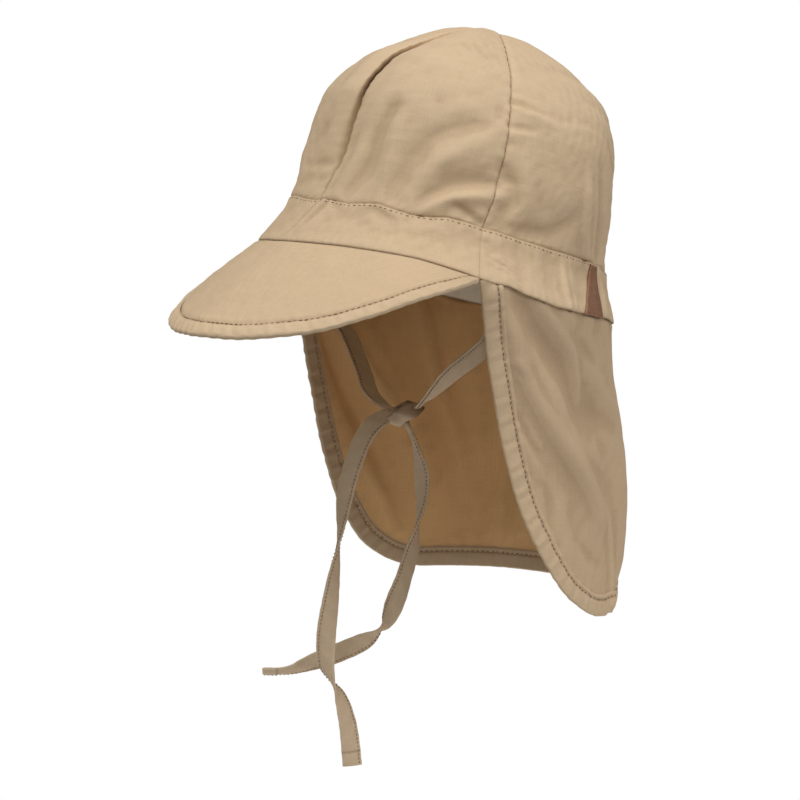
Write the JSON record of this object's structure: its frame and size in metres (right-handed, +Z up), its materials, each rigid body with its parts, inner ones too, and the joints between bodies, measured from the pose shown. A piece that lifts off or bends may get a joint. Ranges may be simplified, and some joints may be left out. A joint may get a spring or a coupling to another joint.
{
  "type": "child's sun hat with peak, neck flap and ties",
  "caption": "Soft cloth sun hat: panelled crown on a gathered band, downturned peak, bound neck flap and flat ties knotted under the chin.",
  "frame": {"origin": "middle of the band's lower edge, where the hat sits round a head", "axes": "+Z up as worn, the peak points to -Y, the wearer's left side is at +X; the band's plane is pitched back about X"},
  "size_m": [0.161, 0.2358, 0.3465],
  "materials": {
    "cloth": "matt woven cotton, sand coloured",
    "tie_cloth": "matt woven cotton tape, sand coloured",
    "leather": "brown leather, slightly worn"
  },
  "bodies": {
    "root": {"crown_front_left": "cloth", "crown_front_right": "cloth", "crown_back_left": "cloth", "crown_back_right": "cloth", "front_band": "cloth", "back_band": "cloth", "peak": "cloth", "neck_flap": "cloth", "flap_binding": "cloth", "leather_tab": "leather", "tie_left": "tie_cloth", "tie_right": "tie_cloth", "tie_end_front": "tie_cloth", "tie_end_back": "tie_cloth", "tie_knot": "tie_cloth"}
  },
  "joints": []
}
